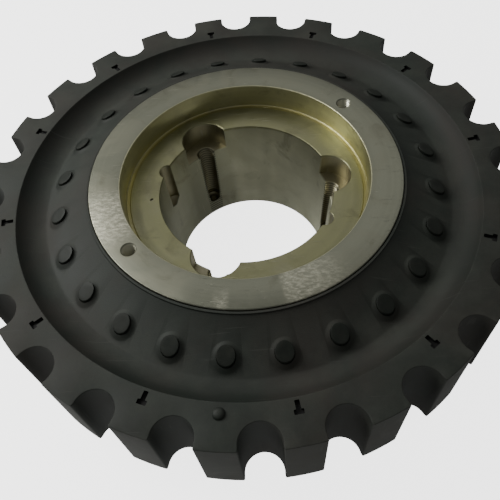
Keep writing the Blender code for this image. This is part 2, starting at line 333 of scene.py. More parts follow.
# %% Lathe rings
def make_lathe_rings():
    """Fine rings round the axis. They show on flat faces by radius and on walls by height."""
    inputs = [("Pitch", "NodeSocketFloat", 0.0006), ("Break Up", "NodeSocketFloat", 0.4)]
    group = Group("lathe_rings", inputs, [("Height", "NodeSocketFloat"), ("Tone", "NodeSocketFloat")])
    tree = group.tree
    here = group.add("ShaderNodeGroup", {"node_tree": ROUND_PLACE})
    pitch = group.entry.outputs["Pitch"]
    by_radius = maths(tree, "DIVIDE", here.outputs["Radius"], pitch)
    by_height = maths(tree, "DIVIDE", here.outputs["Height"], pitch)
    spot = group.add("ShaderNodeCombineXYZ", X=by_radius, Y=by_height)
    fine = group.add("ShaderNodeTexNoise", Vector=spot.outputs[0], Scale=1.0, Detail=3.0, Roughness=0.7)
    broad = group.add("ShaderNodeTexNoise", Vector=spot.outputs[0], Scale=0.07, Detail=2.0)
    place = group.add("ShaderNodeTexCoord").outputs["Object"]
    patch = group.add("ShaderNodeTexNoise", Vector=place, Scale=22.0, Detail=3.0)
    patchy = span(tree, patch.outputs["Fac"], 0.35, 0.65)
    kept = maths(tree, "SUBTRACT", 1.0, maths(tree, "MULTIPLY", patchy, group.entry.outputs["Break Up"]))
    height = maths(tree, "MULTIPLY", fine.outputs["Fac"], kept)
    tree.links.new(height, group.exit.inputs["Height"])
    tree.links.new(broad.outputs["Fac"], group.exit.inputs["Tone"])
    return tree


LATHE_RINGS = make_lathe_rings()
print("group", LATHE_RINGS.name)

# %% Smudges and scratches
def make_smudges():
    """Cloudy marks of hands and oil."""
    inputs = [("Scale", "NodeSocketFloat", 14.0), ("Low", "NodeSocketFloat", 0.45),
              ("High", "NodeSocketFloat", 0.7)]
    group = Group("smudges", inputs, [("Mask", "NodeSocketFloat")])
    place = group.add("ShaderNodeTexCoord").outputs["Object"]
    cloud = group.add("ShaderNodeTexNoise", Vector=place, Scale=group.entry.outputs["Scale"], Detail=6.0,
                      Roughness=0.62, Distortion=0.8)
    mask = group.add("ShaderNodeMapRange", {"interpolation_type": "SMOOTHSTEP"}, Value=cloud.outputs["Fac"])
    group.tree.links.new(group.entry.outputs["Low"], mask.inputs["From Min"])
    group.tree.links.new(group.entry.outputs["High"], mask.inputs["From Max"])
    group.tree.links.new(mask.outputs["Result"], group.exit.inputs["Mask"])
    return group.tree


def make_scratches():
    """Thin straight scratches in three directions. Each is noise squeezed into lines."""
    group = Group("scratches", [("Scale", "NodeSocketFloat", 30.0)], [("Mask", "NodeSocketFloat")])
    tree = group.tree
    place = group.add("ShaderNodeTexCoord").outputs["Object"]
    masks = []
    for degrees, stretch in ((32, 26), (-47, 34), (81, 30)):
        turned = group.add("ShaderNodeMapping", Vector=place)
        turned.inputs["Rotation"].default_value = (0, 0, math.radians(degrees))
        turned.inputs["Scale"].default_value = (1, stretch, 1)
        lines = group.add("ShaderNodeTexNoise", Vector=turned.outputs[0], Scale=group.entry.outputs["Scale"],
                          Detail=2.0)
        masks.append(span(tree, lines.outputs["Fac"], 0.70, 0.76))
    total = maths(tree, "MAXIMUM", maths(tree, "MAXIMUM", masks[0], masks[1]), masks[2])
    tree.links.new(total, group.exit.inputs["Mask"])
    return tree


SMUDGES = make_smudges()
SCRATCHES = make_scratches()
print("groups", SMUDGES.name, SCRATCHES.name)

# %% Settled dust and fine grain
def make_dust():
    """Dust lies on faces that look up, in patches."""
    group = Group("dust", [("Scale", "NodeSocketFloat", 30.0)], [("Mask", "NodeSocketFloat")])
    tree = group.tree
    normal = group.add("ShaderNodeNewGeometry").outputs["Normal"]
    up = group.add("ShaderNodeSeparateXYZ", Vector=normal).outputs["Z"]
    place = group.add("ShaderNodeTexCoord").outputs["Object"]
    cloud = group.add("ShaderNodeTexNoise", Vector=place, Scale=group.entry.outputs["Scale"], Detail=8.0,
                      Roughness=0.7)
    mask = maths(tree, "MULTIPLY", span(tree, up, 0.72, 1.0), span(tree, cloud.outputs["Fac"], 0.3, 0.75))
    tree.links.new(mask, group.exit.inputs["Mask"])
    return tree


def make_grain():
    """The fine skin of a moulding: a tight grain with a few larger dimples."""
    group = Group("grain", [("Scale", "NodeSocketFloat", 900.0)], [("Height", "NodeSocketFloat")])
    tree = group.tree
    place = group.add("ShaderNodeTexCoord").outputs["Object"]
    fine = group.add("ShaderNodeTexNoise", Vector=place, Scale=group.entry.outputs["Scale"], Detail=2.0)
    broad = group.add("ShaderNodeTexNoise", Vector=place, Scale=120.0, Detail=3.0)
    height = maths(tree, "ADD", fine.outputs["Fac"], maths(tree, "MULTIPLY", broad.outputs["Fac"], 0.6))
    tree.links.new(height, group.exit.inputs["Height"])
    return tree


DUST = make_dust()
GRAIN = make_grain()
print("groups", DUST.name, GRAIN.name)

# %% [markdown]
# ## The steel finish
#
# Turned steel is all about the rings: they stretch every highlight into a fan. The hub's outer face is greyer
# and has been handled, so it is scratched, and it carries bright patches of painted reflection. Down in the
# recess a film of oil has turned the metal a warm straw colour; the recess wall and the tapped holes are
# painted lighter as painted light, and the thread roots hold painted shade. The bore, which a bush will rub,
# is greyer again, with painted reflection bands that are lighter towards +X. Radius and height tell the
# regions apart, so one material serves the whole hub.

# %% Steel for the hub
def start_material(name):
    material = bpy.data.materials.new(name)
    material.use_nodes = True
    return material, material.node_tree, material.node_tree.nodes["Principled BSDF"]


def group_node(tree, group, **values):
    node = tree.nodes.new("ShaderNodeGroup")
    node.node_tree = group
    for label, value in values.items():
        node.inputs[label.replace("_", " ")].default_value = value
    return node


def bump(tree, height, depth):
    return add_node(tree, "ShaderNodeBump", Height=height, Distance=depth, Strength=1.0).outputs["Normal"]


def near(tree, centre, inner, outer):
    """1 close to a place, fading to 0."""
    place = tree.nodes.new("ShaderNodeTexCoord").outputs["Object"]
    gap = add_node(tree, "ShaderNodeVectorMath", {"operation": "DISTANCE"}, in0=place, in1=centre)
    return span(tree, gap.outputs["Value"], outer, inner)


def past_ray(tree, place, degrees, blur):
    """1 on the far side of a ray from the axis, counting anticlockwise."""
    across = polar(1, degrees + 90)
    side = add_node(tree, "ShaderNodeVectorMath", {"operation": "DOT_PRODUCT"}, in0=place, in1=across)
    return span(tree, side.outputs["Value"], 0.0, blur)


def painted_reflection_patches(tree):
    """Bright patches of painted reflection on the hub's face. Turned metal shines in wedges, so two stop at a
    ray.
    """
    place = tree.nodes.new("ShaderNodeTexCoord").outputs["Object"]
    across = add_node(tree, "ShaderNodeMapping", Vector=place)
    across.inputs["Scale"].default_value = (1, 2.2, 1)
    across.inputs["Rotation"].default_value = (0, 0, math.radians(35))
    speckle = add_node(tree, "ShaderNodeTexNoise", Vector=across.outputs[0], Scale=210.0, Detail=7.0,
                       Roughness=0.7)
    shine = span(tree, speckle.outputs["Fac"], 0.40, 0.68)
    left = near(tree, polar(0.112, 199, HUB_TOP), 0.012, 0.034)
    front = maths(tree, "MULTIPLY", near(tree, polar(0.118, 287, HUB_TOP), 0.012, 0.046),
                  past_ray(tree, place, 280.5, 0.004))
    streak = maths(tree, "MULTIPLY", near(tree, polar(0.121, 261, HUB_TOP), 0.002, 0.014),
                   past_ray(tree, place, 263 - 180, 0.004))
    painted_reflection = maths(tree, "MAXIMUM", left, share_of(tree, front, 0.75))
    painted_reflection = maths(tree, "MAXIMUM", painted_reflection, share_of(tree, streak, 0.6))
    return maths(tree, "MULTIPLY", painted_reflection, scaled(tree, shine, 0.85, 0.15))


def painted_bore_reflections(tree):
    """Painted reflection bands that run down the bore, and painted light that makes it lighter towards +X.
    The noise hardly changes with the height.
    """
    place = tree.nodes.new("ShaderNodeTexCoord").outputs["Object"]
    plan = add_node(tree, "ShaderNodeMapping", Vector=place)
    plan.inputs["Scale"].default_value = (1, 1, 0.1)
    cloud = add_node(tree, "ShaderNodeTexNoise", Vector=plan.outputs[0], Scale=26.0, Detail=2.0)
    reflection_bands = span(tree, cloud.outputs["Fac"], 0.38, 0.62)
    lit_towards_x = span(tree, add_node(tree, "ShaderNodeSeparateXYZ", Vector=place).outputs["X"], -0.060, 0.040)
    return maths(tree, "ADD", share_of(tree, reflection_bands, 0.45), share_of(tree, lit_towards_x, 0.55))


def thread_root_shade(tree, height):
    """Painted shade in the roots of the screw threads: a wave along the height, only near the screws."""
    place = tree.nodes.new("ShaderNodeTexCoord").outputs["Object"]
    plan = add_node(tree, "ShaderNodeMapping", Vector=place)
    plan.inputs["Scale"].default_value = (1, 1, 0)
    masks = []
    for angle in SCREW_ANGLES:
        axis = polar(BORE_MOUTH_RADIUS, angle)
        gap = add_node(tree, "ShaderNodeVectorMath", {"operation": "DISTANCE"}, in0=plan.outputs[0], in1=axis)
        masks.append(span(tree, gap.outputs["Value"], SCREW_ROOT + 0.0006, SCREW_ROOT + 0.0003))
    by_screw = maths(tree, "MAXIMUM", maths(tree, "MAXIMUM", masks[0], masks[1]), masks[2])
    first_root = SEAT_FLOOR - THREAD_MOUTH - (THREAD_LEAD + THREAD_FLANK + THREAD_ROOT / 2) * SCREW_PITCH
    turns = share_of(tree, maths(tree, "SUBTRACT", height, first_root), math.tau / SCREW_PITCH)
    wave = scaled(tree, maths(tree, "COSINE", turns), 0.5, 0.5)
    under_seat = span(tree, height, SEAT_FLOOR, SEAT_FLOOR - 0.0010)
    return maths(tree, "MULTIPLY", maths(tree, "MULTIPLY", by_screw, wave), under_seat)


def steel_regions(tree, tone):
    """The hub's colour before wear, with painted light and shade in it: face, recess wall and floor, bore,
    and the holes cut behind the bore.
    """
    here = group_node(tree, ROUND_PLACE)
    radius, height = here.outputs["Radius"], here.outputs["Height"]
    # The face colour stops just outside the recess mouth, so the mouth's rounding takes the light wall colour
    # as a painted bright edge line.
    on_face = span(tree, radius, RECESS_RADIUS + 0.0007, RECESS_RADIUS + 0.0010)
    on_wall = span(tree, radius, RECESS_RADIUS - 0.0004, RECESS_RADIUS - 0.0001)
    at_foot = span(tree, radius, RECESS_RADIUS - 0.0048, RECESS_RADIUS - 0.0030)
    below = span(tree, height, RECESS_FLOOR - 0.0002, RECESS_FLOOR - 0.0030)
    bore_radius = scaled(tree, height, math.tan(BORE_TAPER), BORE_FOOT_RADIUS)
    behind = span(tree, maths(tree, "SUBTRACT", radius, bore_radius), 0.0003, 0.0016)
    floor = blend_colour(tree, tone, (0.30, 0.297, 0.165, 1), (0.21, 0.21, 0.128, 1))
    stained = blend_colour(tree, share_of(tree, at_foot, 0.6), floor, (0.38, 0.33, 0.09, 1))
    # The recess wall is painted much lighter than the face and floor: painted light on the inward-facing
    # wall.
    wall = blend_colour(tree, tone, (0.66, 0.65, 0.43, 1), (0.48, 0.47, 0.31, 1))
    walled = blend_colour(tree, on_wall, stained, wall)
    # painted reflection bands and painted light towards +X in the bore's colour
    painted_bore = blend_colour(tree, painted_bore_reflections(tree), (0.27, 0.275, 0.205, 1), (0.72, 0.72, 0.57, 1))
    bored = blend_colour(tree, below, walled, painted_bore)
    holed = blend_colour(tree, maths(tree, "MULTIPLY", below, behind), bored, (0.34, 0.315, 0.215, 1))
    # painted shade in the thread roots
    root_shade = share_of(tree, thread_root_shade(tree, height), 0.85)
    holed = blend_colour(tree, root_shade, holed, (0.03, 0.03, 0.02, 1))
    face = blend_colour(tree, tone, (0.27, 0.275, 0.22, 1), (0.19, 0.195, 0.155, 1))
    sunk = span(tree, height, HUB_TOP - 0.0006, HUB_TOP - 0.0012)
    # The walls of the tapped holes are painted light: painted light inside the holes.
    by_taps = span(tree, radius, TAPPED_CENTRE_RADIUS + 0.0084, TAPPED_CENTRE_RADIUS + 0.0078)
    tapped = blend_colour(tree, maths(tree, "MULTIPLY", sunk, by_taps), face, (0.70, 0.69, 0.56, 1))
    return blend_colour(tree, on_face, holed, tapped)


def make_turned_steel():
    material, tree, shader = start_material("turned_steel")
    rings = group_node(tree, LATHE_RINGS, Pitch=0.0005, Break_Up=0.5)
    smudge = group_node(tree, SMUDGES, Scale=19.0, Low=0.40, High=0.66)
    stain = group_node(tree, SMUDGES, Scale=38.0, Low=0.53, High=0.72)
    scratch = group_node(tree, SCRATCHES, Scale=34.0)
    # painted reflection: bright patches on the face, also pressed a little into the bump
    painted_reflection = painted_reflection_patches(tree)
    metal = steel_regions(tree, rings.outputs["Tone"])
    handled = blend_colour(tree, share_of(tree, smudge.outputs["Mask"], 0.28), metal, (0.36, 0.35, 0.27, 1))
    marked = blend_colour(tree, share_of(tree, stain.outputs["Mask"], 0.34), handled, (0.12, 0.11, 0.07, 1))
    scored = blend_colour(tree, share_of(tree, scratch.outputs["Mask"], 0.30), marked, (0.50, 0.49, 0.41, 1))
    # the painted reflection lightens the face's colour here
    with_painted_reflection = blend_colour(tree, painted_reflection, scored, (0.66, 0.64, 0.52, 1))
    tree.links.new(with_painted_reflection, shader.inputs["Base Color"])
    shader.inputs["Metallic"].default_value = 1.0
    rough = scaled(tree, smudge.outputs["Mask"], 0.14, 0.31)
    rough = maths(tree, "ADD", rough, share_of(tree, rings.outputs["Tone"], 0.10))
    tree.links.new(rough, shader.inputs["Roughness"])
    relief = maths(tree, "SUBTRACT", rings.outputs["Height"], share_of(tree, scratch.outputs["Mask"], 0.8))
    relief = maths(tree, "SUBTRACT", relief, share_of(tree, painted_reflection, 0.5))
    tree.links.new(bump(tree, relief, 0.00012), shader.inputs["Normal"])
    return material


TURNED_STEEL = make_turned_steel()
print("material", TURNED_STEEL.name)

# %% Plain steel for the hidden disc
def make_plate_steel():
    material, tree, shader = start_material("plate_steel_skin")
    cloud = group_node(tree, SMUDGES, Scale=20.0, Low=0.4, High=0.7)
    grain = group_node(tree, GRAIN, Scale=700.0)
    colour = blend_colour(tree, cloud.outputs["Mask"], (0.34, 0.34, 0.33, 1), (0.22, 0.20, 0.18, 1))
    tree.links.new(colour, shader.inputs["Base Color"])
    shader.inputs["Metallic"].default_value = 1.0
    rough = scaled(tree, cloud.outputs["Mask"], 0.2, 0.42)
    tree.links.new(rough, shader.inputs["Roughness"])
    tree.links.new(bump(tree, grain.outputs["Height"], 0.00005), shader.inputs["Normal"])
    return material


disc_material = make_plate_steel()
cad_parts["core_disc"].data.materials.clear()
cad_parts["core_disc"].data.materials.append(disc_material)
print("material", disc_material.name)

# %% [markdown]
# ## The black moulding
#
# The moulding is dark and matt, but never one flat black. Its skin has a fine grain, it is a little browner
# and greener in patches, dust greys what faces up, and the teeth are scuffed to a lighter grey where the belt
# and the bench have worn them by rubbing. The scuff goes by the radius, because the tips are what stands out.
# The sunk marks are painted near black as painted shade.

# %% Black moulding
def painted_mark_shade(tree, here):
    """Painted shade in the sunk marks. Nothing else in the ring has their radius just under the rim face."""
    radius, height = here.outputs["Radius"], here.outputs["Height"]
    outside = span(tree, radius, RIM_INNER_RADIUS + 0.0012, RIM_INNER_RADIUS + 0.0018)
    inside = span(tree, radius, ROOT_RADIUS - 0.0002, ROOT_RADIUS - 0.0008)
    below = span(tree, height, RIM_TOP - 0.0001, RIM_TOP - 0.0006)
    above = span(tree, height, RIM_TOP - 0.0050, RIM_TOP - 0.0040)
    in_band = maths(tree, "MULTIPLY", outside, inside)
    return maths(tree, "MULTIPLY", in_band, maths(tree, "MULTIPLY", below, above))


def make_black_moulding():
    material, tree, shader = start_material("black_moulding_skin")
    here = group_node(tree, ROUND_PLACE)
    cloud = group_node(tree, SMUDGES, Scale=9.0, Low=0.35, High=0.7)
    blotch = group_node(tree, SMUDGES, Scale=40.0, Low=0.5, High=0.75)
    dust = group_node(tree, DUST, Scale=26.0)
    grain = group_node(tree, GRAIN, Scale=1000.0)
    scratch = group_node(tree, SCRATCHES, Scale=18.0)
    base = blend_colour(tree, cloud.outputs["Mask"], (0.016, 0.022, 0.017, 1), (0.033, 0.030, 0.025, 1))
    dusty = blend_colour(tree, share_of(tree, dust.outputs["Mask"], 0.33), base, (0.098, 0.108, 0.090, 1))
    near_tip = span(tree, here.outputs["Radius"], TIP_RADIUS - 0.0009, TIP_RADIUS - 0.0001)
    worn = maths(tree, "MULTIPLY", near_tip, scaled(tree, blotch.outputs["Mask"], 0.4, 0.35))
    tips = blend_colour(tree, worn, dusty, (0.085, 0.084, 0.075, 1))
    scored = blend_colour(tree, share_of(tree, scratch.outputs["Mask"], 0.12), tips, (0.16, 0.16, 0.15, 1))
    # painted shade in the sunk T marks
    with_mark_shade = blend_colour(tree, painted_mark_shade(tree, here), scored, (0.004, 0.004, 0.004, 1))
    tree.links.new(with_mark_shade, shader.inputs["Base Color"])
    rough = scaled(tree, dust.outputs["Mask"], 0.12, 0.61)
    rough = maths(tree, "ADD", rough, share_of(tree, cloud.outputs["Mask"], 0.08))
    tree.links.new(rough, shader.inputs["Roughness"])
    relief = maths(tree, "ADD", grain.outputs["Height"], share_of(tree, blotch.outputs["Mask"], 0.4))
    tree.links.new(bump(tree, relief, 0.00008), shader.inputs["Normal"])
    return material


BLACK_MOULDING = make_black_moulding()
print("material", BLACK_MOULDING.name)

# %% Black pins
def make_black_pin():
    material, tree, shader = start_material("black_pin_skin")
    cloud = group_node(tree, SMUDGES, Scale=60.0, Low=0.4, High=0.7)
    dust = group_node(tree, DUST, Scale=90.0)
    grain = group_node(tree, GRAIN, Scale=1300.0)
    base = blend_colour(tree, cloud.outputs["Mask"], (0.016, 0.020, 0.016, 1), (0.026, 0.028, 0.023, 1))
    dusty = blend_colour(tree, share_of(tree, dust.outputs["Mask"], 0.30), base, (0.08, 0.088, 0.074, 1))
    tree.links.new(dusty, shader.inputs["Base Color"])
    rough = scaled(tree, cloud.outputs["Mask"], 0.15, 0.52)
    tree.links.new(rough, shader.inputs["Roughness"])
    tree.links.new(bump(tree, grain.outputs["Height"], 0.00006), shader.inputs["Normal"])
    shader.inputs["Specular IOR Level"].default_value = 0.35
    return material


BLACK_PIN = make_black_pin()
print("material", BLACK_PIN.name)

# %% [markdown]
# ## Helpers for turned and cut shapes
#
# `turn_outline` does what a lathe does: it takes a profile of radius and height and spins it. `round_corners`
# softens the profile first, because no machined corner is truly sharp and a small round is what catches the
# light. `carve` takes away or adds another shape with a Boolean, and then throws the tool away.

# %% Turning
ROUND_STEPS = 4
SHARP_ANGLE = math.radians(32)
SAME_PLACE = 0.000001


def round_corners(points, radii):
    """A closed profile with rounded corners. radii has one radius for each point, 0 for a sharp corner."""
    rounded = []
    for number, (point, radius) in enumerate(zip(points, radii)):
        here = Vector(point)
        if radius == 0:
            rounded.append(here)
            continue
        before = (Vector(points[number - 1]) - here).normalized()
        after = (Vector(points[(number + 1) % len(points)]) - here).normalized()
        half = before.angle(after) / 2
        reach = radius / math.tan(half)
        centre = here + (before + after).normalized() * (radius / math.sin(half))
        start = here + before * reach - centre
        sweep = start.angle_signed(here + after * reach - centre)
        turns = [Matrix.Rotation(-sweep * step / ROUND_STEPS, 2) for step in range(ROUND_STEPS + 1)]
        rounded += [centre + turn @ start for turn in turns]
    return rounded


def turn_outline(bm, outline, steps, centre=Vector((0, 0, 0)), closed=True, merge=True):
    """Spins a profile about a vertical axis through centre."""
    corners = [bm.verts.new(centre + Vector((radius, 0, height))) for radius, height in outline]
    pairs = list(zip(corners, corners[1:] + corners[:1]))
    edges = [bm.edges.new(pair) for pair in (pairs if closed else pairs[:-1])]
    bmesh.ops.spin(bm, geom=corners + edges, cent=centre, axis=(0, 0, 1), angle=math.tau, steps=steps,
                   use_merge=True, use_duplicate=False)
    if merge:
        bmesh.ops.remove_doubles(bm, verts=bm.verts[:], dist=SAME_PLACE)


def finish_mesh(name, bm, material=None):
    bmesh.ops.recalc_face_normals(bm, faces=bm.faces[:])
    mesh = bpy.data.meshes.new(name)
    bm.to_mesh(mesh)
    bm.free()
    if material:
        mesh.materials.append(material)
    mesh.shade_smooth()
    mesh.set_sharp_from_angle(angle=SHARP_ANGLE)
    piece = bpy.data.objects.new(name, mesh)
    bpy.context.scene.collection.objects.link(piece)
    return piece


def carve(piece, tool, operation="DIFFERENCE"):
    """Applies a Boolean with tool to piece, then removes the tool."""
    boolean = piece.modifiers.new("carve", "BOOLEAN")
    boolean.operation = operation
    boolean.object = tool
    graph = bpy.context.evaluated_depsgraph_get()
    result = bpy.data.meshes.new_from_object(piece.evaluated_get(graph))
    piece.modifiers.clear()
    piece.data = result
    result.shade_smooth()
    result.set_sharp_from_angle(angle=SHARP_ANGLE)
    bpy.data.objects.remove(tool)


def declare(piece, body, slot, *nodes):
    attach(piece, body)
    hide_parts(*nodes)
    print(f"{piece.name}: {len(piece.data.polygons)} faces")


print("mesh helpers ready")

# %% [markdown]
# ## The hub
#
# The hub is one turned profile: barrel, flange, flat land, deep recess and tapered bore. A shallow groove
# runs round the foot of the recess wall, where the turning tool ran out. Then the round holes are cut. A bush
# screw's hole lies half in the hub and half in the bush, so here it is a half pipe in the bore wall: a wide
# seat for the screw's head, and below it a threaded length. Two plain half holes help to push the bush out.

# %% Turn the hub
HUB_STEPS = 288
EDGE_ROUND = 0.0008
UNDER_FLANGE_ROUND = 0.0015
RECESS_MOUTH_ROUND = 0.0009
GROOVE_ROUND = 0.0004
FLOOR_ROUND = 0.0003
BORE_MOUTH_ROUND = 0.0006
GROOVE_WIDTH = 0.0030
GROOVE_DEPTH = 0.0006
GROOVE_INSET = 0.0002
GROOVE_STEP = 0.0004
GROOVE_OUTER_SLOPE = 0.0008
GROOVE_INNER_SLOPE = 0.0006


def hub_profile():
    groove_outer = RECESS_RADIUS - GROOVE_INSET
    groove_inner = groove_outer - GROOVE_WIDTH
    groove_floor = RECESS_FLOOR - GROOVE_DEPTH
    points = [
        (BORE_FOOT_RADIUS, 0), (BARREL_RADIUS, 0), (BARREL_RADIUS, DISC_TOP + GAP),
        (FLANGE_RADIUS, DISC_TOP + GAP), (FLANGE_RADIUS, HUB_TOP), (RECESS_RADIUS, HUB_TOP),
        (RECESS_RADIUS, RECESS_FLOOR + GROOVE_STEP), (groove_outer - GROOVE_OUTER_SLOPE, groove_floor),
        (groove_inner, groove_floor), (groove_inner - GROOVE_INNER_SLOPE, RECESS_FLOOR),
        (BORE_MOUTH_RADIUS, RECESS_FLOOR),
    ]
    radii = [EDGE_ROUND, EDGE_ROUND, UNDER_FLANGE_ROUND, EDGE_ROUND, EDGE_ROUND, RECESS_MOUTH_ROUND,
             GROOVE_ROUND, GROOVE_ROUND, GROOVE_ROUND, FLOOR_ROUND, BORE_MOUTH_ROUND]
    return round_corners(points, radii)


bm = bmesh.new()
turn_outline(bm, hub_profile(), HUB_STEPS)
hub = finish_mesh("hub_body", bm, TURNED_STEEL)
print("hub turned with", HUB_STEPS, "steps")

# %% Cut the screw seats
CUT_PAST = 0.003
SEAT_STEPS = 96
MOUTH_FLARE = 0.0006
DRILL_POINT = math.radians(59)


def cut_round(bm, radius, top, foot, centre, steps, flare=MOUTH_FLARE, tip=True):
    """A cutting tool: a mouth flared at the height top, a straight wall, and a drill point or a flat end."""
    end = foot - radius / math.tan(DRILL_POINT) if tip else foot
    outline = [(0, top + CUT_PAST), (radius + flare + CUT_PAST, top + CUT_PAST), (radius, top - flare),
               (radius, foot), (0, end)]
    turn_outline(bm, outline, steps, centre, closed=False)


bm = bmesh.new()
for angle in SCREW_ANGLES:
    centre = polar(SEAT_CENTRE_RADIUS, angle)
    cut_round(bm, SEAT_RADIUS, RECESS_FLOOR, SEAT_FLOOR, centre, SEAT_STEPS, tip=False)
carve(hub, finish_mesh("seat_tool", bm))
print("seats cut:", len(SCREW_ANGLES))

# %% Cut the threaded half holes
THREAD_RUN_OUT = 0.0060
THREAD_STEPS = 48


def thread_tool(bm, crest, root, pitch, top, foot, centre, mouth):
    """A tap's shape. Its grooves are cut as rings, since the slope of so fine a thread can't be seen."""
    outline = [(0, top + CUT_PAST), (mouth + CUT_PAST, top + CUT_PAST), (crest, top - (mouth - crest))]
    count = int((top - foot - THREAD_RUN_OUT) / pitch)
    for turn in range(count):
        height = top - (mouth - crest) - pitch * (turn + THREAD_LEAD)
        outline += [(crest, height), (root, height - THREAD_FLANK * pitch),
                    (root, height - (THREAD_FLANK + THREAD_ROOT) * pitch)]
    outline += [(crest, outline[-1][1] - THREAD_FLANK * pitch), (crest, foot),
                (0, foot - crest / math.tan(DRILL_POINT))]
    turn_outline(bm, outline, THREAD_STEPS, centre, closed=False)
    return count


bm = bmesh.new()
for angle in SCREW_ANGLES:
    turns = thread_tool(bm, SCREW_CREST, SCREW_ROOT, SCREW_PITCH, SEAT_FLOOR, SCREW_HOLE_FOOT,
                        polar(BORE_MOUTH_RADIUS, angle), SCREW_CREST + THREAD_MOUTH)
carve(hub, finish_mesh("thread_tool", bm))
print("thread turns in each screw hole:", turns)

# %% Cut the jacking holes, the tapped holes and the punch mark
JACK_FLARE = 0.0004
JACK_STEPS = 64
PUNCH_RADIUS = 0.0013
PUNCH_DEPTH = 0.0012
PUNCH_FLARE = 0.0003
PUNCH_STEPS = 24
PUNCH_PLACE = polar(0.0793, 183.0)

bm = bmesh.new()
for angle in JACK_ANGLES:
    centre = polar(JACK_CENTRE_RADIUS, angle)
    cut_round(bm, JACK_HOLE_RADIUS, RECESS_FLOOR, JACK_HOLE_FOOT, centre, JACK_STEPS, flare=JACK_FLARE)
cut_round(bm, PUNCH_RADIUS, RECESS_FLOOR, RECESS_FLOOR - PUNCH_DEPTH, PUNCH_PLACE, PUNCH_STEPS,
          flare=PUNCH_FLARE)
carve(hub, finish_mesh("jack_tool", bm))

bm = bmesh.new()
for angle in TAPPED_ANGLES:
    thread_tool(bm, TAPPED_CREST, TAPPED_ROOT, TAPPED_PITCH, HUB_TOP, TAPPED_FOOT,
                polar(TAPPED_CENTRE_RADIUS, angle), TAPPED_MOUTH)
carve(hub, finish_mesh("tap_tool", bm))
declare(hub, "root", "machined_steel", "taper_hub")

# %% [markdown]
# ## The toothed ring
#
# The ring is built in two shells that meet on the flat rim. The toothed band starts as one flat outline: a
# round gullet, a short flare and a tip, spun round into all the teeth, with their corners rounded. It is
# raised to the full face width, and its upper and lower edges are rounded too. The rest of the ring, from the
# trough in to the hub, is turned from a profile. Last, the flat rim between them is filled, round the marks.

# %% Spin the tooth outline
GULLET_STEPS = 22
TIP_STEPS = 4
TOOTH_CORNER = 0.0011
RIM_EDGE = 0.0007
ROUNDED_TIP_RADIUS = TIP_RADIUS - 0.0001  # inside the flat-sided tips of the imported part
NEARLY = 0.00001
NEARLY_SAME_ANGLE = 0.001


def spin_point(bm, start, centre, angle, steps):
    """A chain of edges swept by one point about a vertical axis. Gives the chain's last point."""
    swept = bmesh.ops.spin(bm, geom=[start], cent=centre, axis=(0, 0, 1), angle=angle, steps=steps,
                           use_merge=False, use_duplicate=False)
    return next(v for v in swept["geom_last"] if isinstance(v, bmesh.types.BMVert))


def tooth_outline(bm, height):
    """One gullet and the tip after it, spun round the ring and closed into a face."""
    centre = Vector((ROOT_RADIUS + GULLET_RADIUS, 0, height))
    start_angle = math.pi / 2 - GULLET_FLARE
    arm = Vector((math.cos(start_angle), -math.sin(start_angle), 0)) * GULLET_RADIUS
    inner = centre + arm
    side = Vector((math.cos(GULLET_FLARE), -math.sin(GULLET_FLARE), 0))
    along = inner.dot(side)
    run = -along + math.sqrt(along ** 2 - inner.to_2d().length_squared + ROUNDED_TIP_RADIUS ** 2)
    first = bm.verts.new(inner)
    mouth_in = bm.verts.new(inner + side * run)
    bm.edges.new((mouth_in, first))
    last = spin_point(bm, first, centre, -(math.tau - 2 * start_angle), GULLET_STEPS)
    mouth_out = bm.verts.new((mouth_in.co.x, -mouth_in.co.y, height))
    bm.edges.new((last, mouth_out))
    gullet_half = math.atan2(mouth_out.co.y, mouth_out.co.x)
    spin_point(bm, mouth_out, (0, 0, height), PITCH - 2 * gullet_half, TIP_STEPS)
    bmesh.ops.spin(bm, geom=bm.verts[:] + bm.edges[:], cent=(0, 0, 0), axis=(0, 0, 1), angle=math.tau,
                   steps=TEETH, use_merge=False, use_duplicate=True)
    bmesh.ops.remove_doubles(bm, verts=bm.verts[:], dist=NEARLY)
    return gullet_half


def toothed_band():
    bm = bmesh.new()
    gullet_half = tooth_outline(bm, RIM_TOP)
    bmesh.ops.contextual_create(bm, geom=bm.edges[:])
    corner_radius = ROUNDED_TIP_RADIUS - NEARLY
    outer = [v for v in bm.verts if v.co.to_2d().length > corner_radius]
    corners = [v for v in outer if is_tooth_corner(v, gullet_half)]
    bmesh.ops.bevel(bm, geom=corners, offset=TOOTH_CORNER, offset_type="OFFSET", segments=4, profile=0.5,
                    affect="VERTICES", clamp_overlap=False, material=-1)
    raised = bmesh.ops.extrude_face_region(bm, geom=bm.faces[:])["geom"]
    bmesh.ops.translate(bm, verts=[v for v in raised if isinstance(v, bmesh.types.BMVert)],
                        vec=(0, 0, RIM_FOOT - RIM_TOP))
    caps = [f for f in bm.faces if abs(f.normal.z) > 0.9]
    rims = [e for f in caps for e in f.edges]
    bmesh.ops.bevel(bm, geom=rims, offset=RIM_EDGE, offset_type="OFFSET", segments=3, profile=0.5,
                    affect="EDGES", clamp_overlap=False, material=-1)
    big = sorted(bm.faces, key=lambda f: len(f.verts))[-2:]
    bmesh.ops.delete(bm, geom=big, context="FACES_ONLY")
    return bm, len(corners)


def is_tooth_corner(vertex, gullet_half):
    angle = math.atan2(vertex.co.y, vertex.co.x) % PITCH
    return min(abs(angle - gullet_half), abs(PITCH - angle - gullet_half)) < NEARLY_SAME_ANGLE


ring_bm, corner_count = toothed_band()
print("tooth corners rounded:", corner_count, "faces in the band:", len(ring_bm.faces))

# %% Turn the trough, the cone and the collar
RING_STEPS = 360
WALL_STEPS = 12
RIM_START = 0.0010
TROUGH_ROUND = 0.0006
LIP_ROUND = 0.0005
COLLAR_ROUND = 0.0008


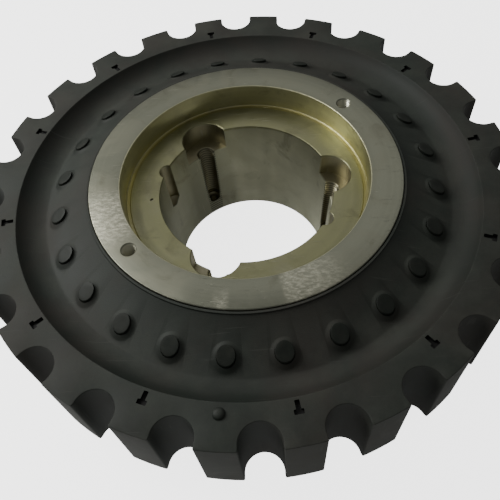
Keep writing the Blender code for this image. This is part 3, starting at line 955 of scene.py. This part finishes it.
def trough_wall(side):
    """The round wall from the trough's lowest line up to the rim, above (side 1) or below (side -1)."""
    run = RIM_INNER_RADIUS - TROUGH_RADIUS
    sweep = (run ** 2 + TROUGH_DEPTH ** 2) / (2 * TROUGH_DEPTH)
    full = math.asin(run / sweep)
    base = RIM_TOP - TROUGH_DEPTH if side > 0 else RIM_FOOT + TROUGH_DEPTH
    turns = [full * step / WALL_STEPS for step in range(WALL_STEPS + 1)]
    return [(TROUGH_RADIUS + sweep * math.sin(t), base + side * sweep * (1 - math.cos(t))) for t in turns]


def cone_height(radius):
    share = (TROUGH_RADIUS - radius) / (TROUGH_RADIUS - CONE_INNER_RADIUS)
    return RIM_TOP - TROUGH_DEPTH + share * (CONE_TOP - RIM_TOP + TROUGH_DEPTH)


def under_cone_height(radius):
    share = (TROUGH_RADIUS - radius) / (TROUGH_RADIUS - RING_LOWER_BORE)
    return RIM_FOOT + TROUGH_DEPTH - share * UNDER_COLLAR_RISE


def ring_profile():
    """From the upper rim, down through the trough, in to the hub, round the disc's slot, and out below."""
    slot = DISC_RADIUS + GAP
    upper = list(reversed(trough_wall(1)))
    lower = trough_wall(-1)
    points = [(RIM_INNER_RADIUS + RIM_START, RIM_TOP), *upper,
              (CONE_INNER_RADIUS, cone_height(CONE_INNER_RADIUS)), (CONE_INNER_RADIUS, LIP_TOP),
              (RING_UPPER_BORE, LIP_TOP), (RING_UPPER_BORE, DISC_TOP + GAP), (slot, DISC_TOP + GAP),
              (slot, DISC_FOOT - GAP), (RING_LOWER_BORE, DISC_FOOT - GAP),
              (RING_LOWER_BORE, under_cone_height(RING_LOWER_BORE)),
              *lower, (RIM_INNER_RADIUS + RIM_START, RIM_FOOT)]
    soft = [0.0] * (len(upper) - 2)
    radii = [0.0, TROUGH_ROUND, *soft, 0.0, TROUGH_ROUND, LIP_ROUND, LIP_ROUND, 0, 0, 0, 0,
             COLLAR_ROUND, 0.0, *soft, TROUGH_ROUND, 0.0]
    return round_corners(points, radii)


turned = bmesh.new()
turn_outline(turned, ring_profile(), RING_STEPS, closed=False)
turned_mesh = bpy.data.meshes.new("turned_shell")
turned.to_mesh(turned_mesh)
turned.free()
ring_bm.from_mesh(turned_mesh)
bpy.data.meshes.remove(turned_mesh)
print("ring shell has", len(ring_bm.faces), "faces")

# %% [markdown]
# ## Marks on the rim
#
# Every second tooth carries a small T, sunk into the rim face, and one tooth carries a round nub where the
# mould was filled. Each is shaped on its own, and its upper edge is left open, so that the flat rim can be
# filled round it and the whole ring stays one skin.

# %% Sink the T marks
MARK_START = RIM_INNER_RADIUS + 0.0020
MARK_LENGTH = 0.0096
MARK_BAR = 0.0068
MARK_STROKE = 0.0034
MARK_DEPTH = 0.0028
MARK_ROUND = 0.0005


def sink_mark(bm, turn):
    """A T-shaped pocket with rounded corners, open at the top."""
    bar = MARK_START + MARK_LENGTH
    neck = bar - MARK_STROKE
    stem = MARK_STROKE / 2
    half = MARK_BAR / 2
    outline = [(MARK_START, -stem), (neck, -stem), (neck, -half), (bar, -half),
               (bar, half), (neck, half), (neck, stem), (MARK_START, stem)]
    corners = [bm.verts.new(turn @ Vector((x, y, RIM_TOP - MARK_DEPTH))) for x, y in outline]
    bm.faces.new(corners)
    softened = bmesh.ops.bevel(bm, geom=corners, offset=MARK_ROUND, offset_type="OFFSET", segments=2,
                               profile=0.5, affect="VERTICES", clamp_overlap=False, material=-1)
    floor = max((f for v in softened["verts"] for f in v.link_faces), key=lambda f: len(f.verts))
    walls = bmesh.ops.extrude_edge_only(bm, edges=floor.edges[:])["geom"]
    upper = [v for v in walls if isinstance(v, bmesh.types.BMVert)]
    bmesh.ops.translate(bm, verts=upper, vec=(0, 0, MARK_DEPTH))


for tooth in range(0, TEETH, 2):
    sink_mark(ring_bm, Matrix.Rotation((tooth + 0.5) * PITCH, 4, "Z"))
print("T marks:", TEETH // 2)

# %% Raise the nub
NUB_TOOTH = 17
NUB_RADIUS = 0.0042
NUB_HEIGHT = 0.0030
NUB_FOOT = 0.0003
NUB_RINGS = 8
NUB_STEPS = 32
NUB_INSET = 0.0078


def raise_nub(bm):
    """A dome with a small slope at its foot, open below."""
    centre = polar(RIM_INNER_RADIUS + NUB_INSET, math.degrees((NUB_TOOTH + 0.5) * PITCH))
    turns = [math.pi / 2 * step / NUB_RINGS for step in range(NUB_RINGS)]
    start = RIM_TOP + NUB_FOOT
    dome = [(NUB_RADIUS * math.sin(t), start + (NUB_HEIGHT - NUB_FOOT) * math.cos(t)) for t in turns]
    outline = dome + [(NUB_RADIUS, start), (NUB_RADIUS + NUB_FOOT, RIM_TOP)]
    turn_outline(bm, outline, NUB_STEPS, centre, closed=False)


raise_nub(ring_bm)
print("nub on tooth", NUB_TOOTH)

# %% Fill the flat rim
def fill_rim(bm, height, facing):
    """Fills the flat ring at one height, between every open edge that lies in it."""
    bmesh.ops.remove_doubles(bm, verts=bm.verts[:], dist=2 * SAME_PLACE)
    level = [e for e in bm.edges if all(abs(v.co.z - height) < NEARLY for v in e.verts)]
    filled = bmesh.ops.triangle_fill(bm, use_beauty=True, use_dissolve=False, normal=(0, 0, facing),
                                     edges=[e for e in level if e.is_boundary])
    return len(filled["geom"])


print("fill above:", fill_rim(ring_bm, RIM_TOP, 1), "fill below:", fill_rim(ring_bm, RIM_FOOT, -1))
print("edges left open:", sum(not e.is_manifold for e in ring_bm.edges))
ring = finish_mesh("moulded_ring", ring_bm, BLACK_MOULDING)

# %% [markdown]
# ## Swellings round the pins
#
# Where a pin comes out of the cone, the moulding swells a little and holds it. Both follow the slope of the
# cone, so each is turned upright and then slanted, which keeps its height above the cone the same all round.
# The swellings are joined to the ring at once, and then the pin holes are cut through everything.

# %% Swell the cones and cut the pin holes
SWELL_HEIGHT = 0.0014
SWELL_REACH = 0.0040
SWELL_ROOT = 0.0030
SWELL_TUCK = 0.0002
SWELL_STEPS = 8
PIN_CLEARANCE = 0.0003
PIN_STEPS = 48


def cone_slope(height):
    run = PIN_CIRCLE_RADIUS - TROUGH_RADIUS
    return (height(PIN_CIRCLE_RADIUS) - height(TROUGH_RADIUS)) / run


def slant(verts, place, slope):
    """Slants upright geometry at a place on the ring, so that it follows a cone."""
    outward = place.normalized()
    for v in verts:
        v.co.z += slope * (v.co - place).dot(outward)


def swelling(bm, place, height, side):
    """A low mound whose flank hollows out to meet the cone. side is 1 above and -1 below."""
    base = height(PIN_CIRCLE_RADIUS)
    flank = []
    for step in range(SWELL_STEPS + 1):
        share = step / SWELL_STEPS
        rise = SWELL_HEIGHT * (1 - share) ** 2 * (1 + share) - SWELL_TUCK * share
        flank.append((PIN_RADIUS + PIN_CLEARANCE + SWELL_REACH * share, base + side * rise))
    outline = [(0, base + side * SWELL_HEIGHT), *flank, (flank[-1][0], base - side * SWELL_ROOT),
               (0, base - side * SWELL_ROOT)]
    count = len(bm.verts)
    turn_outline(bm, outline, PIN_STEPS, place, closed=False, merge=False)
    bm.verts.ensure_lookup_table()
    slant(bm.verts[count:], place, cone_slope(height))


def pin_places():
    return [polar(PIN_CIRCLE_RADIUS, math.degrees((tooth + 0.5) * PITCH)) for tooth in range(TEETH)]


bm = bmesh.new()
for place in pin_places():
    swelling(bm, place, cone_height, 1)
    swelling(bm, place, under_cone_height, -1)
bmesh.ops.remove_doubles(bm, verts=bm.verts[:], dist=SAME_PLACE)
carve(ring, finish_mesh("swellings", bm), "UNION")

bm = bmesh.new()
reach = PIN_RADIUS + PIN_CLEARANCE
for place in pin_places():
    bmesh.ops.create_cone(bm, cap_ends=True, segments=PIN_STEPS, radius1=reach, radius2=reach,
                          depth=2 * HUB_TOP, matrix=Matrix.Translation(place + Vector((0, 0, HUB_TOP / 2))))
carve(ring, finish_mesh("pin_hole_tool", bm))
declare(ring, "root", "black_moulding", "toothed_ring")

# %% [markdown]
# ## The drive pins
#
# Each pin is a stud whose ends are slanted like the cones, with a rounded edge and a very shallow dish, which
# keeps the end from shining like a mirror. They are alike, so one function makes them, but each is a piece of
# its own.

# %% Turn the pins
PIN_EDGE = 0.0006
DISH_DEPTH = 0.0001
DISH_SHARE = 0.5


def make_pin(number, place):
    top = cone_height(PIN_CIRCLE_RADIUS) + PIN_PROUD
    foot = under_cone_height(PIN_CIRCLE_RADIUS) - PIN_PROUD
    points = [(0, foot), (PIN_RADIUS, foot), (PIN_RADIUS, top), (PIN_RADIUS * DISH_SHARE, top),
              (0, top - DISH_DEPTH)]
    outline = round_corners(points, [0, PIN_EDGE, PIN_EDGE, 0, 0])
    bm = bmesh.new()
    turn_outline(bm, outline, PIN_STEPS, place, closed=False)
    middle = (top + foot) / 2
    slant([v for v in bm.verts if v.co.z > middle], place, cone_slope(cone_height))
    slant([v for v in bm.verts if v.co.z < middle], place, cone_slope(under_cone_height))
    pin = finish_mesh(f"pin_{number:02d}", bm, BLACK_PIN)
    declare(pin, "root", "black_pin", f"drive_pin_{number:02d}")


for number, place in enumerate(pin_places(), 1):
    make_pin(number, place)
